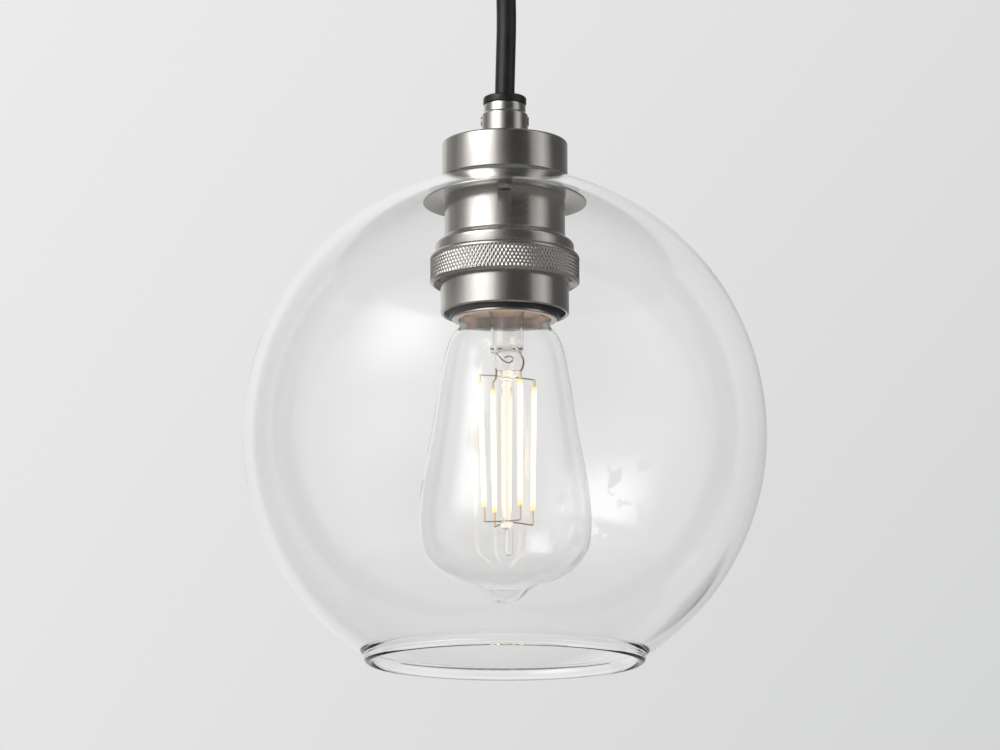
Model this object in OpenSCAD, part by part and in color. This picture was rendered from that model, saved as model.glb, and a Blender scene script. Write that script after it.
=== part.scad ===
// Pendant ceiling light: a clear glass globe with an open mouth hangs on one round
// black flex. Inside it a turned nickel lampholder carries a pear-shaped filament lamp.
// Frame: origin at the centre of the ceiling face, +Z up, everything hangs below it.
// Heights called h are measured from the globe's centre, upwards. Millimetres.

/* [Globe] */
// outside diameter of the glass globe
globe_od = 194; // [190:1:200]
// how far the globe's crown stands above a true ball of that diameter
globe_crown = 2.4; // [0:0.2:3]
// thickness of the globe's glass
globe_wall = 3; // [2.2:0.1:3.2]
// thickness of the fire-polished bead round the mouth
bead_d = 3.4; // [3:0.1:3.8]

/* [Flex] */
// length of flex between the ceiling ball and the collar
flex_len = 60; // [40:5:600]
// diameter of the flex
flex_d = 7.4; // [6:0.1:7.6]

/* [Ceiling rose] */
// outside diameter of the rose cover
rose_d = 100; // [96:1:120]
// height of the rose cover
rose_h = 25; // [25:1:36]
// distance between the two slotted holes for the ceiling screws
slot_spacing = 72; // [70:1:74]
// width of the slotted holes
slot_w = 5; // [4:0.5:6]
// diameter of the hole that the mains cable comes through
mains_d = 11; // [8:1:12]

/* [Lampholder] */
// diamonds cut round the knurled ring
knurl_count = 60; // [40:2:72]
// depth of the knurling
knurl_depth = 0.35; // [0.2:0.05:0.45]
// length of the lower shell below the knurled ring
cup_len = 11.5; // [11:0.5:13]

/* [Lamp] */
// length of the lit part of each filament
filament_len = 47; // [40:1:48]
// diameter of each filament
filament_dia = 2; // [1.4:0.1:2.4]

/* [Output] */
// the sub-part to draw, or all

/* [Hidden] */
$fn = 72;

nickel = [0.78, 0.74, 0.68];
steel = [0.66, 0.67, 0.68];
brass = [0.80, 0.62, 0.30];
black = [0.05, 0.05, 0.055];
clear = [0.86, 0.90, 0.90, 0.35];
ceramic = [0.92, 0.90, 0.85];
copper = [0.78, 0.45, 0.28];
phosphor = [0.98, 0.78, 0.42];
eps = 0.01;

// ceiling rose
rose_wall = 1.2;
strap_t = 2;
strap_w = 24;
strap_x = rose_d / 2 - rose_wall - 0.3;
ear_drop = 14;
screw_z = -8;
slot_l = 9;
mains_x = -17;

// ball joint at the ceiling, both swings turn about its centre
ball_r = 9;
ball_gap = 0.3;
ball_z = 5.2 - rose_h;
flex_top = ball_z - ball_r - 0.2;
join_gap = 0.05;

// heights on the globe and the fittings that clamp it, from the globe's centre
globe_r = globe_od / 2;
hole_r = 21;
land_r = 21.9;
globe_top = globe_r + globe_crown;
land_h = globe_top * sqrt(1 - pow(land_r / globe_r, 2));
inside_r = globe_r - globe_wall;
inside_top = globe_top - globe_wall;
mouth_in_r = 48.4;
bead_r = bead_d / 2;
bead_c = 50;
bead_h = -sqrt(pow(globe_r, 2) - pow(49.4, 2));
lift = land_h - 99.4 * sqrt(1 - pow(land_r / 97, 2));
collar_top = 129;
drop = -(flex_top - flex_len - join_gap - collar_top - lift);

// lampholder heights
cap_top = 111.4;
cap_base = 97.4;
cap_r = 23.55;
step_h = 90.2;
shoulder_h = 71.4;
ring_top = 68.4;
ring_base = 57;
skirt_base = 61.1;
cup_base = ring_base - cup_len;
ring_r = 28;
skirt_r = 25.9;
knurl_base = 59;
knurl_turn = 12;
knurl_phase = 0.7;
tube_r = 22.7;
neck_r = 20.4;

// screw thread of the lamp and its shell: an offset circle carried up a helix
pitch = 3.629;
thread_off = 0.5;
thread_sides = 24;
thread_steps = 8;
cap_thread_r = 12.65;
shell_thread_r = 13.05;

// flex centre line: sideways lean at evenly spaced steps down from the ball
flex_lean = [0, 0.05, 0.15, 0.25, 0.35, 0.45, 0.55, 0.6, 0.6, 0.55, 0.45, 0.35, 0.25, 0.15,
             0.05, 0];
flex_route = [for (i = [0 : len(flex_lean) - 1])
  [flex_lean[i], 0, flex_top - flex_len * i / (len(flex_lean) - 1)]];

// lamp glass: radius and height down the outside, from the neck to the tip
lamp_wall = 0.8;
lamp_outline = [
  [11.2, 53.6], [11.3, 52.2], [12.2, 50.6], [13.6, 48.8], [14.9, 46.6], [15.9, 44.4],
  [17.2, 40.6], [19.9, 36.8], [21.8, 32], [23.3, 25], [24.7, 17.5], [27.1, 1.5],
  [29.8, -12.5], [31.4, -23.5], [32, -34], [30.6, -43], [26.2, -50], [19, -55.1],
  [12.2, -58.2], [8.4, -60.6], [5.2, -62.9], [2.4, -64], [0, -64.25]
];

// filament ends: across, depth and height at the top and at the bottom
filament_ends = [
  [[-9.2, -4.4, 19], [-7.5, -4.2, -28.6]],
  [[-4.5, 9.6, 19], [-3.8, 8.2, -28.6]],
  [[5.7, -9.8, 19], [5.6, -8.6, -28.6]],
  [[11, 4.6, 19], [10.3, 4.2, -28.6]]
];
rod_x = 0.7;

function unit(v) = v / norm(v);
function arc(c, r, a0, a1, n = 8) =
  [for (i = [0 : n]) let (a = a0 + (a1 - a0) * i / n) [c[0] + r * cos(a), c[1] + r * sin(a)]];
function curve4(p0, p1, p2, p3, t) = 0.5 * ((2 * p1) + (p2 - p0) * t
  + (2 * p0 - 5 * p1 + 4 * p2 - p3) * t * t + (3 * p1 - p0 - 3 * p2 + p3) * t * t * t);
function smooth_line(p, k) = let (m = len(p) - 1) concat([for (i = [0 : m - 1], j = [0 : k - 1])
  curve4(p[max(i - 1, 0)], p[i], p[i + 1], p[min(i + 2, m)], j / k)], [p[m]]);
function tangent(p, i) = unit(p[min(i + 1, len(p) - 1)] - p[max(i - 1, 0)]);
function inset(p, d) = [for (i = [0 : len(p) - 1]) let (t = tangent(p, i))
  i == len(p) - 1 ? p[i] + [0, d] : p[i] + d * [t[1], -t[0]]];

// closed solid whose skin joins rings of points, each ring counterclockwise seen from the last
module skinned(rings) {
  n = len(rings);
  sides = len(rings[0]);
  skin = [for (i = [0 : n - 2], k = [0 : sides - 1]) let (l = (k + 1) % sides)
    [i * sides + k, (i + 1) * sides + k, (i + 1) * sides + l, i * sides + l]];
  first = [for (k = [0 : sides - 1]) k];
  last = [for (k = [sides - 1 : -1 : 0]) (n - 1) * sides + k];
  polyhedron([for (r = rings, q = r) q], concat(skin, [first], [last]));
}

// round tube swept along a route; across is a direction off the route
module swept(route, d, across, sides = 10) skinned([for (i = [0 : len(route) - 1])
  let (t = tangent(route, i), u = unit(cross(t, across)), v = cross(t, u))
  [for (k = [0 : sides - 1]) let (a = 360 * k / sides)
    route[i] + d / 2 * (cos(a) * u + sin(a) * v)]]);

// straight round bar between two points
module bar(p, q, d) {
  v = q - p;
  translate(p) rotate([0, acos(v[2] / norm(v)), atan2(v[1], v[0])]) cylinder(h = norm(v), d = d);
}

// the two frames that sub-parts are drawn in: the globe's centre, and the fitting on its top
module hung() translate([0, 0, -drop]) children();
module fitting() translate([0, 0, lift - drop]) children();
module ring(r_in, r_out, h0, h1) translate([0, 0, h0]) difference() {
  cylinder(r = r_out, h = h1 - h0);
  translate([0, 0, -1]) cylinder(r = r_in, h = h1 - h0 + 2);
}

// rolled thread: a circle of radius r whose centre climbs a helix
module helix(r, h0, h1) {
  steps = ceil(thread_steps * (h1 - h0) / pitch);
  skinned([for (i = [0 : steps]) let (h = h0 + (h1 - h0) * i / steps, a = 360 * h / pitch)
    [for (k = [0 : thread_sides - 1]) let (b = 360 * k / thread_sides)
      [thread_off * cos(a) + r * cos(b), thread_off * sin(a) + r * sin(b), h]]]);
}

module slot(x) translate([x, 0, 0]) {
  for (s = [-1, 1]) translate([s * (slot_l - slot_w) / 2, 0, -strap_t - 1])
    cylinder(d = slot_w, h = strap_t + 2);
  translate([-(slot_l - slot_w) / 2, -slot_w / 2, -strap_t - 1])
    cube([slot_l - slot_w, slot_w, strap_t + 2]);
}

// ceiling rose ---------------------------------------------------------------
module ceiling_bracket() color(steel) difference() {
  intersection() {
    union() {
      translate([-strap_x, -strap_w / 2, -strap_t]) cube([2 * strap_x, strap_w, strap_t]);
      for (s = [-1, 1]) translate([s * (strap_x - 1.3) - 1.3, -7, -ear_drop])
        cube([2.6, 14, ear_drop]);
      for (s = [-1, 1]) translate([s * (strap_x - 3.2) - 1.2, -7, -strap_t - 2])
        cube([2.4, 14, 2 + eps]);
    }
    translate([0, 0, -ear_drop - 1]) cylinder(r = strap_x, h = ear_drop + 1);
  }
  for (s = [-1, 1]) slot(s * slot_spacing / 2);
  translate([mains_x, 0, -strap_t - 1]) cylinder(d = mains_d, h = strap_t + 2);
  for (s = [-1, 1]) translate([s * (strap_x - 1), 0, screw_z]) rotate([0, 90, 0])
    translate([0, 0, -3]) cylinder(r = 2, h = 6);
}

module rose_cover() color(nickel) difference() {
  rotate_extrude() polygon(concat([[12.1, -rose_h]],
    arc([rose_d / 2 - 4, 4 - rose_h], 4, -90, 0), [[rose_d / 2, 0],
    [rose_d / 2 - rose_wall, 0]], arc([rose_d / 2 - 4, 4 - rose_h], 4 - rose_wall, 0, -90),
    [[12.1, rose_wall - rose_h]]));
  for (s = [-1, 1]) translate([s * (rose_d / 2 - 1), 0, screw_z]) rotate([0, 90, 0])
    translate([0, 0, -3]) cylinder(r = 2.2, h = 6);
}

module rose_screws() color(nickel) for (s = [0, 180]) rotate(s)
  translate([rose_d / 2, 0, screw_z]) rotate([0, 90, 0]) difference() {
    union() {
      translate([0, 0, -7]) cylinder(r = 1.9, h = 7 + eps);
      cylinder(r = 4, h = 2.4);
      translate([0, 0, 2.4 - eps]) cylinder(r1 = 4, r2 = 3.4, h = 0.6);
    }
    translate([-0.5, -5, 1.8]) cube([1, 10, 2]);
  }

module terminal_block() color(ceramic) difference() {
  translate([16.5, -11.5, -13]) cube([13.5, 23, 11 - eps]);
  for (y = [-7, 0, 7]) {
    translate([15, y, -7.5]) rotate([0, 90, 0]) cylinder(r = 1.4, h = 16);
    translate([19.5, y, -14]) cylinder(r = 1.7, h = 5);
    translate([27, y, -14]) cylinder(r = 1.7, h = 5);
  }
}

module block_screws() color(brass) for (y = [-7, 0, 7], x = [19.5, 27]) translate([x, y, 0])
  difference() {
    translate([0, 0, -12.6]) cylinder(r = 1.6, h = 3.6);
    translate([-0.3, -2, -12.8]) cube([0.6, 4, 0.9]);
  }

module rose_cores() for (k = [-1, 0, 1]) color(k == 0 ? [0.25, 0.5, 0.2] : k > 0 ?
  [0.15, 0.25, 0.6] : [0.4, 0.22, 0.12]) swept([
    [-1.5, 2.3 * k, ball_z + 13.6], [0.5, 2.4 * k, ball_z + 14.6], [3, 2.8 * k, -4.4],
    [6, 3.6 * k, -4], [9.5, 4.8 * k, -4.3], [12.5, 6.1 * k, -5.6], [15, 6.9 * k, -7.1],
    [17.5, 7 * k, -7.5], [21, 7 * k, -7.5]], 2, [0, 1, 0], 8);

module swivel_seat() color(nickel) translate([0, 0, ball_z]) difference() {
  union() {
    translate([0, 0, -6.1]) cylinder(r = 15, h = 0.9 - eps);
    translate([0, 0, -6.1]) cylinder(r = 12, h = 8.1);
  }
  sphere(r = ball_r + ball_gap, $fn = 96);
  cylinder(r = ball_r + ball_gap, h = 5);
}

module seat_nut() color(brass) translate([0, 0, 1.2 - rose_h + eps]) difference() {
  cylinder(r = 15.2, h = 2.6, $fn = 6);
  translate([0, 0, -1]) cylinder(r = 12.05, h = 5);
}

module swivel_ball() color(black) translate([0, 0, ball_z]) difference() {
  sphere(r = ball_r, $fn = 96);
  translate([-10, -10, 7.6]) cube([20, 20, 5]);
  translate([0, 0, -6]) cylinder(r = 3.65, h = 20);
}

module flex_tail() color(black) translate([0, 0, ball_z - 6]) cylinder(r = 3.6, h = 16.6);

// flex and cord grip ---------------------------------------------------------
module suspension_cord() color(black) swept(flex_route, flex_d, [0, 1, 0], 12);

module cord_collar() color(black) fitting() {
  rotate_extrude() polygon(concat([[0, 126 + eps], [8.1, 126 + eps]],
    arc([7.1, 128], 1, 0, 90), [[0, collar_top]]));
  translate([0, 0, 117.4]) cylinder(r = 5.9, h = 8.7);
}

module cord_grip() color(nickel) fitting() difference() {
  rotate_extrude() polygon(concat([[5.05, cap_top + eps], [8.3, cap_top + eps],
    [8.7, cap_top + 0.4], [8.7, 121.8]], arc([9.1, 123.1], 1.25, -105, -170), [[7.85, 123.6],
    [7.85, 125.6], [7.45, 126], [5.95, 126], [5.95, 117.2], [5.05, 117.2]]));
  for (s = [0, 180]) rotate(s) translate([4, 0, 119.6]) rotate([0, 90, 0])
    cylinder(r = 1.8, h = 8);
}

module grip_screws() color(steel) fitting() for (s = [0, 180]) rotate(s)
  translate([5.95, 0, 119.6]) rotate([0, 90, 0]) difference() {
    cylinder(r = 1.7, h = 3.1);
    translate([0, 0, 1.5]) cylinder(r = 0.95, h = 3, $fn = 6);
  }

module hollow_nipple() color(brass) fitting() ring(3.9, 5, 97.4, 117.1);

module nipple_nut() color(brass) fitting() translate([0, 0, 99]) difference() {
  cylinder(r = 8, h = 3 - eps, $fn = 6);
  translate([0, 0, -1]) cylinder(r = 5.03, h = 5);
}

// globe and what clamps it ---------------------------------------------------
module top_cap() color(nickel) fitting() rotate_extrude() polygon(concat([[21.9, cap_base],
  [cap_r, cap_base]], arc([cap_r - 1, cap_top - 1], 1, 0, 90), [[5.1, cap_top],
  [5.1, cap_top - 2], [21.9, cap_top - 2]]));

module upper_gasket() color(clear) fitting() ring(20.8, 22.9, 96.9, cap_base - eps);

// half outline of a bowl below the middle and a slightly taller crown above it
function shell(r, top) = [for (i = [-20 : 24]) let (a = 3.75 * i)
  [r * cos(a), (i < 0 ? r : top) * sin(a)]];

module glass_globe() color(clear) hung() rotate_extrude($fn = 144) {
  intersection() {
    difference() {
      polygon(concat([[0, -globe_r]], shell(globe_r, globe_top)));
      polygon(concat([[0, -inside_r]], shell(inside_r, inside_top)));
    }
    polygon([[mouth_in_r, bead_h], [120, bead_h], [120, land_h], [hole_r, land_h], [hole_r, 0],
      [mouth_in_r, 0]]);
  }
  translate([bead_c, bead_h]) circle(bead_r, $fn = 48);
}

// inner face of the crown at a radius, in the fitting's frame
function inside_h(r) = inside_top * sqrt(1 - pow(r / inside_r, 2)) - lift;

module lower_gasket() color(clear) fitting() rotate_extrude()
  polygon([[21.4, 91.15], [23, 91.15], [27.4, 90.42], [27.4, inside_h(27.4) - 0.15],
    [21.4, inside_h(21.4) - 0.15]]);

module shade_flange() color(nickel) fitting() difference() {
  rotate_extrude() polygon([[20.7, step_h + eps], [23, step_h + eps], [30.9, 88.9],
    [31.1, 89.1], [31.1, 89.65], [30.9, 89.83], [23, 91.1], [20.7, 91.1]]);
  translate([-2.3, -23.9, 85]) cube([4.6, 6, 10]);
}

module upper_body() color(nickel) fitting() difference() {
  rotate_extrude() polygon(concat([[24.3, skirt_base], [skirt_r, skirt_base],
    [skirt_r, ring_top + 0.1], [26, ring_top + 0.1]], arc([24.2, shoulder_h], 1.8, 0, 62),
    arc([tube_r + 1.3, 75.1], 1.3, 242, 180, 5), [[tube_r, step_h], [neck_r, step_h],
    [neck_r, 104], [5.15, 104], [5.15, 102], [18.9, 102], [18.9, 88.7], [21.2, 88.7],
    [21.2, 73.5], [24.3, 69.5]]));
  translate([-2.3, -25, 87.8]) cube([4.6, 4.3, 5]);
  translate([0, 13, 100]) cylinder(r = 1.7, h = 5);
}

module earth_screw() color(brass) fitting() translate([0, 13, 0]) difference() {
  union() {
    translate([0, 0, 99.6]) cylinder(r = 1.6, h = 4.2);
    translate([0, 0, 98]) cylinder(r = 3.2, h = 1.7);
  }
  translate([-0.4, -4, 97.5]) cube([0.8, 8, 1.1]);
}

// each core runs from the collar down the nipple, then out to its terminal
module lamp_core(a, c) color(c) fitting() rotate(a) swept([[1.7, 0, 117.3], [1.7, 0, 110],
  [1.7, 0, 103], [1.8, 0, 98], [2.8, 0, 95.6], [5, 0, 94], [8, 0, 93.6], [11, 0, 92.8],
  [12.6, 0, 91], [13, 0, 88.5], [13, 0, 84], [13, 0, 79]], 2, [0, 1, 0], 8);
module live_core() lamp_core(-30, [0.4, 0.22, 0.12]);
module neutral_core() lamp_core(210, [0.15, 0.25, 0.6]);
module earth_core() color([0.3, 0.55, 0.2]) fitting() swept([[0, 1.7, 117.3], [0, 1.7, 110],
  [0, 1.7, 103], [0, 1.8, 98], [0, 3, 95.4], [0, 5.2, 94.3], [0, 7.1, 94.6], [0, 8.3, 96.2],
  [0, 8.5, 97.6], [0, 8.5, 99.2], [0, 8.5, 101.2]], 2, [1, 0, 0], 8);

// knurled union ring and the lower shell -------------------------------------
module knurl_band(turn) linear_extrude(height = ring_top - knurl_base, twist = turn, slices = 4)
  polygon([for (i = [0 : 2 * knurl_count - 1]) let (r = ring_r - (i % 2) * knurl_depth)
    r * [cos(180 * i / knurl_count), sin(180 * i / knurl_count)]]);

module knurled_ring() color(nickel) fitting() difference() {
  union() {
    rotate_extrude() polygon(concat([[25, ring_base], [26.8, ring_base], [27.6, 58],
      [27.6, 66.6]], arc([25.8, 66.6], 1.8, 0, 80, 5), [[26, ring_top], [25, ring_top]]));
    intersection() {
      translate([0, 0, knurl_base]) rotate(knurl_phase) knurl_band(knurl_turn);
      translate([0, 0, knurl_base]) rotate(-knurl_phase) knurl_band(-knurl_turn);
      rotate_extrude() polygon(concat([[20, 58.8], [27.9, 58.8], [28.1, 59.2], [28.1, 66.6]],
        arc([26, 66.6], 2.1, 0, 80, 5), [[20, ring_top]]));
    }
  }
  translate([0, 0, ring_base - 1]) cylinder(r = 25, h = 20);
  translate([0, 0, 59.3]) cylinder(r = skirt_r + 0.3, h = 20);
}

module holder_cup() color(nickel) fitting() rotate_extrude() {
  translate([22.6, cup_base + 0.7]) square([1.4, 60.9 - cup_base - 0.7]);
  translate([23.3, cup_base + 0.7]) circle(0.7, $fn = 40);
  translate([22.6, 59.5]) square([3, 1.4]);
}

module holder_insert() color(black) fitting() rotate_extrude() polygon([[19.65, 44.1],
  [20.35, 44.1], [20.6, 44.4], [20.6, 50.5], [22.55, 50.5], [22.55, 60.7], [20.6, 60.7],
  [20.6, 73.4], [15.2, 73.4], [15.2, 52], [19.65, 52]]);

module shell_rim_ring() color(steel) fitting() rotate_extrude() polygon([[17.3, 43.3],
  [19.3, 43.3], [19.6, 43.6], [19.6, 51.6], [18.6, 51.6], [18.6, 44.4], [17.3, 44.4]]);

module screw_shell() color(brass) fitting() difference() {
  union() {
    translate([0, 0, 50.4]) cylinder(r = 14.4, h = 23);
    rotate_extrude() polygon([[14, 50.5], [16.4, 48], [17.3, 48], [17.3, 48.6], [14.4, 51.8],
      [14, 51.8]]);
  }
  helix(shell_thread_r, 50, 74);
  translate([0, 0, 47.9]) cylinder(r1 = 16.4, r2 = 13.4, h = 3.2);
}

module side_contact() color(brass) fitting() rotate(90) {
  translate([14.45, -2, 62]) cube([0.5, 4, 13.5]);
  translate([14.45, -2, 73.45 + 1.45]) cube([4, 4, 0.6]);
}

module terminal_base() color(ceramic) fitting() difference() {
  union() {
    translate([0, 0, 73.45]) cylinder(r = 20, h = 12.1);
    translate([0, 0, 85.5]) cylinder(r = 7, h = 0.5);
  }
  translate([0, 0, 73]) cylinder(r = 9.5, h = 5.2);
  translate([0, 0, 78]) cylinder(r = 2.7, h = 9);
  translate([0, 0, 82.3]) cylinder(r = 3.6, h = 5);
  for (a = [-30, 210]) rotate(a) {
    translate([13, 0, 76.5]) cylinder(r = 1.3, h = 12);
    translate([13, 0, 80.5]) rotate([0, 90, 0]) cylinder(r = 1.6, h = 10);
  }
  rotate(90) translate([14, -2.1, 73]) cube([4.6, 4.2, 2.6]);
}

module terminal_screws() color(brass) fitting() for (a = [-30, 210]) rotate(a)
  translate([14.4, 0, 80.5]) rotate([0, 90, 0]) difference() {
    cylinder(r = 1.5, h = 5);
    translate([-2, -0.3, 4]) cube([4, 0.6, 2]);
  }

module centre_contact() color(brass) fitting() {
  translate([0, 0, 77.1]) cylinder(r = 2.4, h = 8.4);
  translate([0, 0, 85.3]) cylinder(r = 3.3, h = 1.2);
}

// lamp -----------------------------------------------------------------------
module bulb_glass() color(clear) fitting() {
  line = smooth_line(lamp_outline, 2);
  rotate_extrude() polygon(concat([for (p = line) [max(p[0], 0), p[1]]],
    [for (i = [len(line) - 1 : -1 : 0]) let (q = inset(line, lamp_wall)[i])
      i == len(line) - 1 ? [0, line[i][1] + 1.1] : [max(q[0], 0.05), q[1]]]));
}

module bulb_cap() color(steel) fitting() difference() {
  union() {
    helix(cap_thread_r, 53.2, 71.4);
    translate([0, 0, 52.3]) cylinder(r = 12.1, h = 1.3);
    translate([0, 0, 70.9]) cylinder(r1 = 12.2, r2 = 9.6, h = 2.4);
  }
  translate([0, 0, 51]) cylinder(r = 11.45, h = 19.5);
  translate([0, 0, 70.4]) cylinder(r1 = 11.4, r2 = 8.8, h = 2.4);
  translate([0, 0, 72]) cylinder(r = 8.6, h = 3);
}

module cap_insulator() color(black) fitting() difference() {
  union() {
    translate([0, 0, 72.2]) cylinder(r = 8.55, h = 1.2);
    translate([0, 0, 73.35]) cylinder(r1 = 8.9, r2 = 5.6, h = 2);
  }
  translate([0, 0, 70]) cylinder(r = 1.05, h = 8);
}

module cap_contact() color(steel) fitting() {
  translate([0, 0, 71]) cylinder(r = 1, h = 5);
  intersection() {
    translate([0, 0, 75.4]) cylinder(r = 4.6, h = 1.6);
    translate([0, 0, 69.2]) sphere(r = 7.8);
  }
}

module driver_board() color([0.1, 0.35, 0.18]) fitting() {
  translate([-7.5, -0.6, 55.5]) cube([15, 1.2, 13]);
  translate([-3.5, -3.8, 62]) cylinder(r = 2.6, h = 5.5);
  translate([-3.5, -1.4, 62]) cube([2, 1, 2]);
  translate([1.5, 0.5, 57]) cube([4.5, 1.6, 5]);
}

module bulb_stem() color(clear) fitting() translate([rod_x, 0, 0]) difference() {
  union() {
    rotate_extrude() polygon([[6.2, 32], [6.2, 44], [7.2, 47.6], [9.5, 51], [9.5, 53],
      [8.8, 53], [8.8, 51.6], [6.4, 48], [5.3, 44.2], [5.3, 32]]);
    translate([0, 0, 30.8]) cylinder(r1 = 4.6, r2 = 6.2, h = 1.6);
    translate([-4.4, -1.7, 24]) cube([9.6, 3.4, 7]);
  }
  translate([0, 0, 31]) cylinder(r = 1, h = 4);
}

module stem_rod() color(clear) fitting() translate([rod_x, 0, 0]) {
  translate([0, 0, -33]) cylinder(r = 2, h = 57 - eps);
  translate([0, 0, 21]) cylinder(r1 = 2.2, r2 = 3.6, h = 1.4);
  translate([0, 0, 22.4 - eps]) cylinder(r1 = 3.6, r2 = 2.6, h = 1.5);
  translate([0, 0, -33]) sphere(r = 2.6);
  translate([0.8, 0, -44]) cylinder(r = 1.5, h = 10);
  translate([0.8, 0, -44]) sphere(r = 1.5);
}

module lead_wires() color(steel) fitting() {
  swept([[-3.2, 0, 25], [-3.2, 1.2, 22.9], [-3.5, 3.6, 21.8], [-4, 6.6, 21.6],
    [-4.4, 9, 21.6]], 0.9, [1, 0, 0.1], 8);
  swept([[5.2, 0, 31.2], [6.5, -0.9, 29], [6.9, -2.2, 26.8], [6.5, -4.4, 24.4],
    [5.9, -7.4, 22.6], [5.7, -9.3, 21.8]], 0.9, [1, 0, 0.1], 8);
  swept([[-3.2, -1.6, 30.6], [-2.5, -2.3, 29.4], [-0.6, -2.5, 27.5], [1.3, -2.6, 26.6],
    [2.6, -2.6, 27.2], [2.9, -2.5, 28.3], [2.1, -2.4, 29], [1, -2.3, 29.1],
    [-0.1, -2.3, 28.5]], 0.7, [0, 1, 0], 8);
}

// wires held in a bead of the rod: a small hub in the bead, and a wire out to each end
module wire_star(h, ends) {
  hub = [rod_x, 0, h];
  translate(hub - [0, 0, 0.6]) cylinder(r = 1.3, h = 1.2);
  for (e = ends) bar(hub + unit(e - hub), e, 0.7);
}

module upper_wires() color(steel) fitting()
  wire_star(22.2, [for (k = [0, 3]) filament_ends[k][0] + [0, 0, 2.6]]);

module lower_wires() color(steel) fitting()
  wire_star(-32.6, [for (e = filament_ends) e[1] + [0, 0, -4.6]]);

function lit(k) = let (p = filament_ends[k][0], q = filament_ends[k][1])
  [p, p + filament_len * unit(q - p)];
module filament(k) color(phosphor) fitting() bar(lit(k)[0], lit(k)[1], filament_dia);
module filament_a() filament(0);
module filament_b() filament(1);
module filament_c() filament(2);
module filament_d() filament(3);

// metal tab at each end of each filament
module filament_tabs() color(copper) fitting() for (k = [0 : 3]) let (p = lit(k)[0],
  q = lit(k)[1], u = unit(q - p)) {
    bar(p - 2.6 * u, p - eps * u, 1.1);
    bar(q + eps * u, filament_ends[k][1] + [0, 0, -4.6], 1.1);
  }

ceiling_bracket();
rose_cover();
rose_screws();
terminal_block();
block_screws();
rose_cores();
swivel_seat();
seat_nut();
swivel_ball();
flex_tail();
suspension_cord();
cord_collar();
cord_grip();
grip_screws();
hollow_nipple();
nipple_nut();
top_cap();
upper_gasket();
glass_globe();
lower_gasket();
shade_flange();
upper_body();
earth_screw();
live_core();
neutral_core();
earth_core();
knurled_ring();
holder_cup();
holder_insert();
shell_rim_ring();
screw_shell();
side_contact();
terminal_base();
terminal_screws();
centre_contact();
bulb_glass();
bulb_cap();
cap_insulator();
cap_contact();
driver_board();
bulb_stem();
stem_rod();
lead_wires();
upper_wires();
lower_wires();
filament_a();
filament_b();
filament_c();
filament_d();
filament_tabs();
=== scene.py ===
import math

import bmesh
import bpy
from mathutils import Matrix, Vector


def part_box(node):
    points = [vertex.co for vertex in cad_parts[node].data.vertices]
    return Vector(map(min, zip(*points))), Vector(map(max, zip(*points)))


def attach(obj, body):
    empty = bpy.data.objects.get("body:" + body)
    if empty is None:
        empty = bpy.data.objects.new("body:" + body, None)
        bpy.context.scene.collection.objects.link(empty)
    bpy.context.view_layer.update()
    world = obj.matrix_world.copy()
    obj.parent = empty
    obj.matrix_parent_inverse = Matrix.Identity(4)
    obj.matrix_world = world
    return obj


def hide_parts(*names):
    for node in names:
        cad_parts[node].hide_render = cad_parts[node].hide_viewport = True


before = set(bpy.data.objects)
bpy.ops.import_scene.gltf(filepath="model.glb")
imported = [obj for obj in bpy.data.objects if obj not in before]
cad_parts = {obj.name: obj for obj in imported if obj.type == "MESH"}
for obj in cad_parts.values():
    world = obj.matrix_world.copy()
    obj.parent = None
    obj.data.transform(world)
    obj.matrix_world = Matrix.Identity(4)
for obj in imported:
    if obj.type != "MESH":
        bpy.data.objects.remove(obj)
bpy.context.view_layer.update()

# A clear glass globe hangs on a black flex below its ceiling rose. Inside it a turned
# nickel lampholder carries a pear-shaped filament lamp. Outlines are in millimetres:
# r from the axis, and h up from the globe's centre.
MM = 0.001
TURN = 2 * math.pi
GLOBE_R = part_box("glass_globe")[1].x / MM
GLOBE_TOP = GLOBE_R + 2.4
GLOBE_WALL = 3.0
LAND_R = 21.9
LAND_H = GLOBE_TOP * math.sqrt(1 - (LAND_R / GLOBE_R) ** 2)
CENTRE_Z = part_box("glass_globe")[1].z - LAND_H * MM
ROSE_H = -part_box("rose_cover")[0].z / MM
BALL_Z = (5.2 - ROSE_H) * MM
scene = bpy.context.scene


# ---------------------------------------------------------------- camera
def make_camera():
    """Stands 1.6 m in front of the globe and below it, and aims just above its centre."""
    away, below = 1.637, math.radians(10.4)
    aim_x, aim_up = -0.0018, 0.0226
    data = bpy.data.cameras.new("camera")
    data.lens, data.sensor_width = 159.1, 36
    data.clip_start, data.clip_end = 0.01, 50
    camera = bpy.data.objects.new("camera", data)
    scene.collection.objects.link(camera)
    camera.location = (0, -away * math.cos(below), CENTRE_Z - away * math.sin(below))
    aim = Vector((aim_x, 0, CENTRE_Z + aim_up)) - camera.location
    camera.rotation_mode = "QUATERNION"
    camera.rotation_quaternion = aim.to_track_quat("-Z", "Y")
    scene.camera = camera


make_camera()


# ---------------------------------------------------------------- mesh tools
def mesh_piece(name, bm, sharp=32):
    """A new object from bm, smooth except along edges sharper than sharp degrees."""
    bmesh.ops.remove_doubles(bm, verts=bm.verts, dist=1e-7)
    bmesh.ops.recalc_face_normals(bm, faces=bm.faces)
    mesh = bpy.data.meshes.new(name)
    bm.to_mesh(mesh)
    bm.free()
    mesh.shade_smooth()
    mesh.set_sharp_from_angle(angle=math.radians(sharp))
    piece = bpy.data.objects.new(name, mesh)
    scene.collection.objects.link(piece)
    return piece


def arc(r, h, radius, start, end, steps=8):
    """Points on an arc round (r, h), from start to end degrees."""
    angles = [math.radians(start + (end - start) * k / steps) for k in range(steps + 1)]
    return [(r + radius * math.cos(a), h + radius * math.sin(a)) for a in angles]


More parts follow.
